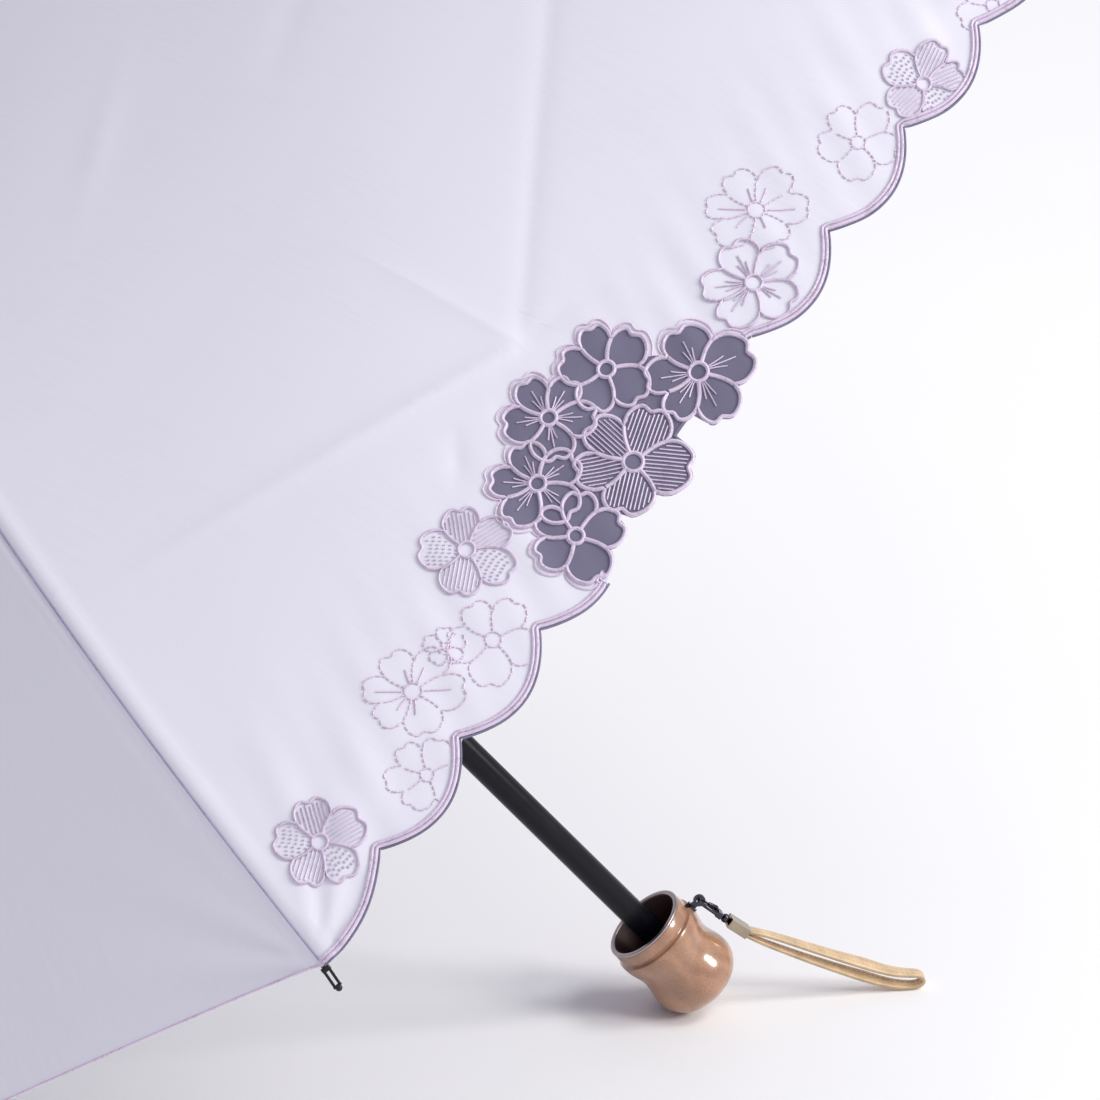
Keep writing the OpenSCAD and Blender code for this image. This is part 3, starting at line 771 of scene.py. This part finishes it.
class Stitcher:
    """Collects thread lines and filled shapes in a panel's flat coordinates, in millimetres."""

    def __init__(self, dome, panel):
        self.dome = dome
        self.panel = panel
        self.lines = {}
        self.fills = {}

    def lay(self, points, lift):
        points = np.asarray(points, float)
        a = self.dome.rim - points[..., 1] * MM / self.dome.rho
        return on_cloth(self.dome, self.panel, points[..., 0] * MM, a, lift * MM)

    def put(self, kind, points, closed, lift):
        side = -1 if np.mean(points[:, 0]) < 0 else 1
        self.lines.setdefault((kind, side), []).append((self.lay(points, lift), closed))

    def line(self, kind, points, closed=False, lift=0.3, clip=True, seen=True):
        """Lays one thread, where seen, leaving out what the hem's cords would cover."""
        points = np.asarray(points, float)
        keep = points[:, 1] > hem_up(True, points[:, 0] * MM) / MM + HEM_CLEAR
        keep = (keep | (not clip)) & seen
        if keep.all():
            self.put(kind, points, closed, lift)
            return
        if closed:
            start = int(np.argmin(keep))
            points, keep = np.roll(points, -start, axis=0), np.roll(keep, -start)
        ends = np.flatnonzero(np.diff(keep)) + 1
        for run, kept in zip(np.split(points, ends), keep[np.append(0, ends)]):
            if kept and len(run) > 1:
                self.put(kind, run, False, lift)

    def fill(self, kind, flower, lift=0.12):
        """Covers a flower's whole outline, or a disc's, with a thin patch of rings."""
        turn = np.linspace(0, 360, FILL_TURNS)
        reach = petal_reach(flower[3], turn) if flower[3] else np.full(FILL_TURNS, float(flower[2]))
        share = np.linspace(0, 1, FILL_RINGS)[:, None]
        grid = polar(flower, turn[None, :], reach[None, :] * share)
        grid[..., 1] = np.maximum(grid[..., 1], hem_up(True, grid[..., 0] * MM) / MM)
        side = -1 if flower[0] < 0 else 1
        self.fills.setdefault((kind, side), []).append(self.lay(grid, lift))

    def dashes(self, kind, points, dash=1.9, gap=0.8, closed=True):
        points = np.asarray(points, float)
        if closed:
            points = np.vstack([points, points[:1]])
        run = np.append(0, np.cumsum(np.hypot(*np.diff(points, axis=0).T)))
        start = 0.0
        while start + dash < run[-1]:
            at = np.linspace(start, start + dash, 3)
            self.line(kind, np.stack([np.interp(at, run, points[:, k]) for k in (0, 1)], -1))
            start += dash + gap


def ring_line(x, up, radius, points=16):
    turn = np.linspace(0, 2 * math.pi, points, endpoint=False)
    return np.stack([x + radius * np.cos(turn), up + radius * np.sin(turn)], -1)


def cleft_lines(petals):
    """Directions between neighbouring petals."""
    ways = sorted(p[0] for p in petals)
    return [(low + high) / 2 for low, high in zip(ways, ways[1:] + [ways[0] + 360])]


def fill_lines(flower, way):
    """Parallel fill stitches along one petal, inside its outline."""
    petals = flower[3]
    others = [p[0] for p in petals if p[0] != way]
    after = min((o - way) % 360 for o in others) / 2
    before = min((way - o) % 360 for o in others) / 2
    out = []
    for c in np.arange(-14, 14.1, FILL_PITCH):
        width = min(after if c > 0 else before, 60) * 0.86
        along = np.arange(max(abs(c) / math.tan(math.radians(width)), 3.2), 24, 0.5)
        turn = way + np.degrees(np.arctan2(c, along))
        room = petal_reach(petals, turn) - FILL_MARGIN - np.hypot(along, c)
        stop = np.argmax(room < 0) if (room < 0).any() else len(along)
        if stop > 3:
            out.append(polar(flower, turn[:stop:2], np.hypot(along, c)[:stop:2]))
    return out


def veins(flower, way, reach):
    """Three lines from a petal's foot, the middle one longest."""
    out = []
    for off, share in ((-VEIN_FAN, 0.5), (0, 0.68), (VEIN_FAN, 0.5)):
        at = np.linspace(0.2, share, 5) * reach
        out.append(polar(flower, way + off * (0.5 + at / reach), at))
    return out


def second_outline(stitch, flower):
    """A fine line just outside one of the cut-work's flowers, where no other flower covers it."""
    turn = np.linspace(0, 360, 160, endpoint=False)
    points = polar(flower, turn, petal_reach(flower[3], turn) + BORDER_GAP)
    seen = np.ones(len(turn), bool)
    for other in CUT_FLOWERS:
        if other is not flower:
            dx, dy = points[:, 0] - other[0], points[:, 1] - other[1]
            reach = petal_reach(other[3], np.degrees(np.arctan2(dy, dx)))
            seen &= np.hypot(dx, dy) > reach + BORDER_GAP - 0.1
    for x, up, radius in CUT_GAPS:
        seen &= np.hypot(points[:, 0] - x, points[:, 1] - up) > radius
    stitch.line("border", points, True, seen=seen)


def embroider(stitch, flower):
    """One flower: its net if it is cut out, dark partly with painted shade, its outline, middle and clefts,
    then its petals' stitches.
    """
    x, up, kind, petals = flower
    thin = kind in ("running", "veined")
    cut = kind in ("open", "stamens", "hatched")
    edge = "satin" if cut else "outline"
    size = sum(p[1] for p in petals) / len(petals)
    middle = max(0.17 * size, 1.6)
    if cut:
        # The net's dark patch is partly painted shade of the hole.
        stitch.fill("open_cut", flower)
        second_outline(stitch, flower)
    if thin:
        stitch.dashes("running", flower_line(flower))
        stitch.dashes("running", ring_line(x, up, middle), 1.4, 0.5)
    else:
        stitch.line(edge, flower_line(flower), True, clip=not cut)
        stitch.line(edge, ring_line(x, up, middle), True, clip=not cut)
    for way in cleft_lines(petals):
        at = np.linspace(middle, float(petal_reach(petals, way)) + 1.2, 6)
        line = polar(flower, way + 5 * np.sin(at / at[-1] * math.pi), at)
        if thin:
            stitch.dashes("running", line, 1.5, 0.7, closed=False)
        else:
            stitch.line(edge, line, clip=not cut)
    if kind in ("running", "open"):
        return
    for k, (way, reach) in enumerate(petals):
        if kind in ("satin", "hatched"):
            for row in fill_lines(flower, way):
                if kind == "satin" and k % 2 == 1:
                    stitch.dashes("fine", row, 1.0, 1.4, closed=False)
                else:
                    stitch.line("fine", row, clip=not cut)
        elif kind == "veined":
            stitch.line("running", veins(flower, way, reach)[k % 3])
        else:
            for vein in veins(flower, way, reach):
                stitch.line("fine", vein, lift=0.35, clip=not cut)


def hem_line(dome, embroidered, side, inset, start=0.0):
    """Points along half the hem, inset inside the cloth's edge, from start across to the corner."""
    across = np.linspace(start * MM, dome.rho * math.sin(dome.rim) * math.sin(HALF), 420) * side
    flat = np.stack([across / MM, hem_up(embroidered, across) / MM], -1)
    slope = np.gradient(flat, axis=0)
    normal = np.stack([-slope[:, 1], slope[:, 0]], -1) * side
    moved = flat + inset * normal / np.linalg.norm(normal, axis=1)[:, None]
    return moved[np.abs(moved[:, 0]) < np.abs(flat[-1, 0]) - 0.6]


def trim_hem(stitch, side):
    """Two satin cords side by side along the scallops, and the coating's dark edge outside them."""
    start = -CUT_FROM if side < 0 else CUT_TO
    for inset in (0.8, 2.3):
        cord = hem_line(stitch.dome, True, side, inset, start - CORD_OVERLAP)
        stitch.line("cord", cord, lift=0.15, clip=False)
    stitch.line("edge", hem_line(stitch.dome, True, side, -0.35, start), lift=-0.3, clip=False)
    cut = hem_line(stitch.dome, True, side, 0.0)
    stitch.line("rim", cut[np.abs(cut[:, 0]) < start], lift=-0.2, clip=False)


def stitch_out(stitch):
    """Makes the collected threads and patches, each set riding on its side's outer rib."""
    for (kind, side), lines in stitch.lines.items():
        radius, key, steps = THREADS[kind]
        name = f"stitch_{kind}_{stitch.panel}_{SIDES[side]}"
        obj = threads(name, lines, radius * MM, finish_of(key), steps)
        fold_with(obj, stitch.dome, stitch.panel, side, "outer")
    for (kind, side), outlines in stitch.fills.items():
        obj = patches(f"patch_{kind}_{stitch.panel}_{SIDES[side]}", outlines, finish_of(kind))
        fold_with(obj, stitch.dome, stitch.panel, side, "outer")


# ---- Operators ----

class PARASOL_OT_stage(bpy.types.Operator):
    """Floor, soft studio light and the camera"""
    bl_idname = "parasol.stage"
    bl_label = "Stage and camera"

    def execute(self, context):
        scene = context.scene
        bm = bmesh.new()
        bmesh.ops.create_grid(bm, x_segments=2, y_segments=2, size=20)
        floor = add_object("floor", mesh_from(bm, "floor"), paper_white("plaster_sweep_matt"))
        world = bpy.data.worlds.new("studio")
        world.use_nodes = True
        back = world.node_tree.nodes["Background"]
        back.inputs["Color"].default_value = srgb("f3f3fb")
        back.inputs["Strength"].default_value = 0.715
        scene.world = world
        lights = [("key", (2.3, -0.6, 3.4), 1.5, 50, "fffefb"), ("fill", (-2.5, -3.0, 2.2), 2.0, 7, "f2f2ff"),
                  ("glint", (1.86, -1.05, 1.28), 0.75, 24, "fffdf8")]
        for name, place, size, power, code in lights:
            lamp = bpy.data.lights.new(name, "AREA")
            lamp.shape = "DISK"
            lamp.size = size
            lamp.energy = power
            lamp.color = srgb(code)[:3]
            obj = bpy.data.objects.new(name, lamp)
            obj.location = place
            aim = Vector((0, 0, 0.2)) - obj.location
            obj.rotation_euler = aim.to_track_quat("-Z", "Y").to_euler()
            scene.collection.objects.link(obj)
        lens = bpy.data.cameras.new("camera")
        lens.sensor_width = 36
        lens.lens = 263.06
        lens.clip_end = 60
        camera = bpy.data.objects.new("camera", lens)
        azimuth, elevation, roll = 10.162, 24.077, -0.185
        turn = Matrix.Rotation(math.radians(-azimuth), 4, "Z")
        turn = turn @ Matrix.Rotation(math.radians(90 - elevation), 4, "X")
        turn = turn @ Matrix.Rotation(math.radians(roll), 4, "Z")
        camera.matrix_world = Matrix.Translation((-0.3716, -2.9933, 1.5771)) @ turn
        scene.collection.objects.link(camera)
        scene.camera = camera
        scene.view_settings.view_transform = "Standard"
        return {"FINISHED"}


# Wrist strap, in the upright plane through the shaft: [x, z] in millimetres, as the CAD route.
STRAP_ROUTE = [
    (248.8, 32.6), (256, 28.2), (264, 24), (272, 19.9), (280, 15.9), (288, 12.1), (296, 8.4),
    (304, 5), (311, 2.6), (318, 1.1), (323, 0.9), (326.3, 2.2), (326.9, 4.6), (324.6, 6.4),
    (320, 6.7), (313, 7.8), (305, 10.6), (297, 14), (289, 17.5), (281, 21.1), (273, 24.8),
    (265, 28.5), (257, 32), (250.0, 34.2),
]

STRAP_WIDTH, STRAP_THICK = 6.0, 1.3
# The strap's far edge rolls up with this slope: from the first place on, wholly from the second, and
# less again over the last stretch before the loop's end, down to the last share.
ROLL_SLOPE = 0.35
ROLL_FROM, ROLL_WHOLE = 258, 303
ROLL_END, ROLL_EASE, ROLL_LEAST = 330, 28, 0.2
# Its stitching: rows across, each stitch's length and the next one's start after it.
STITCH_ROWS = (-1.25, 1.25)
STITCH_LONG, STITCH_STEP = 1.5, 2.3


def smooth_route(points):
    """The same ends, with the corners cut twice so that the line is a curve."""
    line = np.array(points, float)
    for _ in range(2):
        cut = np.empty((2 * len(line) - 2, 2))
        cut[0::2] = 0.75 * line[:-1] + 0.25 * line[1:]
        cut[1::2] = 0.25 * line[:-1] + 0.75 * line[1:]
        line = np.vstack([line[:1], cut, line[-1:]])
    return line


def strap_roll(x, y):
    """Rise of the strap's far edge as it rolls towards the near one, clear of the crimp."""
    share = np.clip((x - ROLL_FROM * MM) / ((ROLL_WHOLE - ROLL_FROM) * MM), 0, 1)
    share = share * np.clip((ROLL_END * MM - x) / (ROLL_EASE * MM), ROLL_LEAST, 1)
    return ROLL_SLOPE * (y + STRAP_WIDTH / 2 * MM) * share


class PARASOL_OT_strap(bpy.types.Operator):
    """Doubled leather wrist strap with painted edges and stitching"""
    bl_idname = "parasol.strap"
    bl_label = "Wrist strap"

    def execute(self, context):
        line = smooth_route(STRAP_ROUTE)
        way = np.gradient(line, axis=0)
        normal = np.stack([-way[:, 1], way[:, 0]], -1) / np.linalg.norm(way, axis=1)[:, None]
        outline = np.vstack([line + normal * STRAP_THICK / 2, (line - normal * STRAP_THICK / 2)[::-1]])
        bm = bmesh.new()
        ring = [bm.verts.new((x * MM, -STRAP_WIDTH / 2 * MM, z * MM)) for x, z in outline]
        count = len(line)
        for k in range(count - 1):
            bm.faces.new((ring[k], ring[k + 1], ring[2 * count - 2 - k], ring[2 * count - 1 - k]))
        made = bmesh.ops.extrude_face_region(bm, geom=bm.faces[:])
        moved = [v for v in made["geom"] if isinstance(v, bmesh.types.BMVert)]
        bmesh.ops.translate(bm, verts=moved, vec=(0, STRAP_WIDTH * MM, 0))
        for v in bm.verts:
            v.co.z += strap_roll(v.co.x, v.co.y)
        bmesh.ops.recalc_face_normals(bm, faces=bm.faces)
        for face in bm.faces:
            if abs(face.normal.y) > 0.7:
                face.material_index = 1
        edges = [e for e in bm.edges if len(e.link_faces) == 2 and e.calc_face_angle(0) > 1.0]
        bmesh.ops.bevel(bm, geom=edges, offset=0.28 * MM, offset_type="OFFSET", affect="EDGES",
                        segments=2, profile=0.5, material=-1)
        mesh = mesh_from(bm, "wrist_strap_leather")
        smooth(mesh, 50)
        strap = add_object("wrist_strap_leather", mesh, finish_of("leather"), finish_of("edge"))
        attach(strap, "strap")
        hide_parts("wrist_strap")
        run = np.append(0, np.cumsum(np.hypot(*np.diff(line, axis=0).T)))
        stitches = []
        for y in STITCH_ROWS:
            for face in (-1, 1):
                skin = line + normal * face * (STRAP_THICK / 2 + 0.02)
                for start in np.arange(2.0, run[-1] - 3, STITCH_STEP):
                    at = np.linspace(start, start + STITCH_LONG, 3)
                    x, z = np.interp(at, run, skin[:, 0]), np.interp(at, run, skin[:, 1])
                    z = z * MM + strap_roll(x * MM, y * MM)
                    stitches.append((np.stack([x * MM, np.full(3, y * MM), z], -1), False))
        sewn = threads("wrist_strap_stitching", stitches, 0.16 * MM, finish_of("edge"), 0)
        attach(sewn, "strap")
        return {"FINISHED"}


class PARASOL_OT_canopy(bpy.types.Operator):
    """Six gores of taffeta, each split along its middle and at the rib knuckles so that it folds"""
    bl_idname = "parasol.canopy"
    bl_label = "Canopy cloth"

    def execute(self, context):
        dome = Dome()
        for panel in range(1, RIBS + 1):
            for side in (-1, 1):
                for part in PARTS:
                    cloth_piece(dome, panel, side, part)
            sew_seam(dome, panel)
        return {"FINISHED"}


class PARASOL_OT_embroidery(bpy.types.Operator):
    """Scalloped satin hem, flowers and cut-work on every second gore, and the plain gores' hems"""
    bl_idname = "parasol.embroidery"
    bl_label = "Embroidery"

    def execute(self, context):
        dome = Dome()
        for panel in range(1, RIBS + 1):
            stitch = Stitcher(dome, panel)
            for side in (-1, 1):
                if panel % 2 == 1:
                    trim_hem(stitch, side)
                else:
                    stitch.line("hem", hem_line(dome, False, side, 0.5), lift=0.0, clip=False)
            if panel % 2 == 1:
                # Net patches in the cut-work's gaps, dark partly with painted shade of the hollow.
                for x, up, radius in CUT_GAPS:
                    stitch.fill("open_cut", (x, up, radius, None), 0.05)
                for flower in FLOWERS + CUT_FLOWERS:
                    embroider(stitch, flower)
            stitch_out(stitch)
        return {"FINISHED"}


def cup_profile(mouth):
    """The handle's section: lip, groove, band, waist, bulb and round end, then the bore."""
    band, bulb, radius, dip, round_r, length = 9.5, 32.5, 19.6, 0.9, 12.0, 44.5
    outer = [(16.2, -1.2), (18.1, -1.2), (18.5, -6.0), (17.9, -6.5), (17.9, -7.1), (19.5, -7.7)]
    for k in range(25):
        s = band + (bulb - band) * k / 24
        outer.append((radius - dip + dip * math.cos(2 * math.pi * (s - band) / (bulb - band)), -s))
    for k in range(1, 17):
        t = math.radians(90 * k / 16)
        outer.append((radius - round_r + round_r * math.cos(t), -bulb - round_r * math.sin(t)))
    bore = [(4.2, -length), (4.2, -length + 2.6), (2.1, -length + 4.2), (2.1, -36), (8, -36),
            (8, -27), (11.2, -27), (12.6, -25.6)]
    return [(r, s + mouth) for r, s in outer + bore]


class PARASOL_OT_handle(bpy.types.Operator):
    """Turned wooden cup with its ring, and the shaft's tubes"""
    bl_idname = "parasol.handle"
    bl_label = "Handle and shaft"

    def execute(self, context):
        mouth = -322.0
        # Faces inside the bore take the near-black finish, painted shade of the hollow.
        cup = lathe("handle_cup_turned", rounded(cup_profile(mouth), 0.35, 2),
                    (finish_of("wood"), finish_of("bore")), 128,
                    lambda z: 16.3 * MM if z > (mouth - 28) * MM else 9 * MM)
        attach(cup, "handle")
        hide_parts("handle_cup")
        ring = lathe("mouth_ring_turned", rounded([
            (16.1, mouth - 1.2), (16.1, mouth - 0.1), (18.2, mouth - 0.1), (18.2, mouth - 1.2)], 0.5, 4),
            (finish_of("ring"),), 128)
        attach(ring, "handle")
        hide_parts("mouth_ring")
        tubes = [("bottom_tube", "handle", 5.7, 5.2, mouth - 34, -139),
                 ("middle_tube", "middle_shaft", 5.1, 4.6, -167, 36)]
        for node, body, outer, inner, low, high in tubes:
            tube = lathe(f"{node}_drawn", rounded([(outer, low), (outer, high), (inner, high), (inner, low)],
                                                  0.2, 2), (finish_of("shaft"),), 96)
            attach(tube, body)
            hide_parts(node)
        return {"FINISHED"}


class PARASOL_OT_clasp(bpy.types.Operator):
    """Spring hook's wire claw and thumb lever, between the handle's stud and the strap"""
    bl_idname = "parasol.clasp"
    bl_label = "Clasp"

    def execute(self, context):
        eye = Vector(JOINTS["hook_swing"]["pos_m"])
        ball = Vector(JOINTS["swivel_spin"]["pos_m"])
        way = (ball - eye).normalized()
        up = ACROSS.cross(way) * -1
        span = (ball - eye).length
        half_long, half_wide = span * 0.36, 2.2 * MM
        loop = []
        for t in np.linspace(0, 2 * math.pi, 40, endpoint=False):
            along = half_long + half_long * -math.cos(t)
            loop.append(eye + way * along + ACROSS * (half_wide * math.sin(t) * (1.1 - 0.25 * math.cos(t))))
        wire = [(np.array([list(p) for p in loop]), True)]
        # The thumb lever over the gate: shares of the way to the swivel, and rises in millimetres.
        lever = [eye + way * span * share + up * rise * MM
                 for share, rise in ((0.3, 1.2), (0.55, 1.9), (0.66, 1.0))]
        wire.append((np.array([list(p) for p in lever]), False))
        claw = threads("strap_hook_claw", wire, 0.75 * MM, finish_of("gunmetal"), 3)
        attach(claw, "hook")
        return {"FINISHED"}


FINISHES = {
    "handle_plug": "plastic", "handle_screw": "gunmetal", "strap_stud": "gunmetal", "top_tube": "shaft",
    "crown": "plastic", "crown_pins": "gunmetal", "top_cap": "cloth", "ferrule": "shaft",
    "runner": "plastic", "runner_pins": "gunmetal", "runner_collar": "plastic",
    "runner_catch": "gunmetal", "upper_catch": "gunmetal", "lower_catch": "gunmetal",
    "strap_hook": "gunmetal", "strap_swivel": "gunmetal", "strap_crimp": "gold",
}


class PARASOL_OT_metalwork(bpy.types.Operator):
    """Finishes on the ribs, stretchers, crown, runner and small fittings"""
    bl_idname = "parasol.metalwork"
    bl_label = "Ribs and fittings"

    def execute(self, context):
        for node, obj in NODES.items():
            key = FINISHES.get(node)
            if key is None and node.startswith(("rib_", "stretcher_")):
                key = "rib"
            if key is None:
                continue
            obj.data.materials.clear()
            obj.data.materials.append(finish_of(key))
        return {"FINISHED"}


class PARASOL_PT_panel(bpy.types.Panel):
    """Lists the parasol's builders"""
    bl_label = "Parasol"
    bl_idname = "PARASOL_PT_panel"
    bl_space_type = "VIEW_3D"
    bl_region_type = "UI"
    bl_category = "Parasol"

    def draw(self, context):
        for operator in OPERATORS:
            self.layout.operator(operator.bl_idname)


OPERATORS = (PARASOL_OT_stage, PARASOL_OT_clasp, PARASOL_OT_strap, PARASOL_OT_canopy,
             PARASOL_OT_embroidery, PARASOL_OT_handle, PARASOL_OT_metalwork)
CLASSES = (ParasolSizes, ParasolColours, *OPERATORS, PARASOL_PT_panel)


def register():
    for cls in CLASSES:
        bpy.utils.register_class(cls)
    bpy.types.Scene.parasol_sizes = bpy.props.PointerProperty(type=ParasolSizes)
    bpy.types.Scene.parasol_colours = bpy.props.PointerProperty(type=ParasolColours)


def unregister():
    del bpy.types.Scene.parasol_colours
    del bpy.types.Scene.parasol_sizes
    for cls in reversed(CLASSES):
        bpy.utils.unregister_class(cls)


def main():
    register()
    bpy.ops.parasol.stage()
    bpy.ops.parasol.clasp()
    bpy.ops.parasol.strap()
    bpy.ops.parasol.canopy()
    bpy.ops.parasol.embroidery()
    bpy.ops.parasol.handle()
    bpy.ops.parasol.metalwork()


if __name__ == "__main__":
    main()
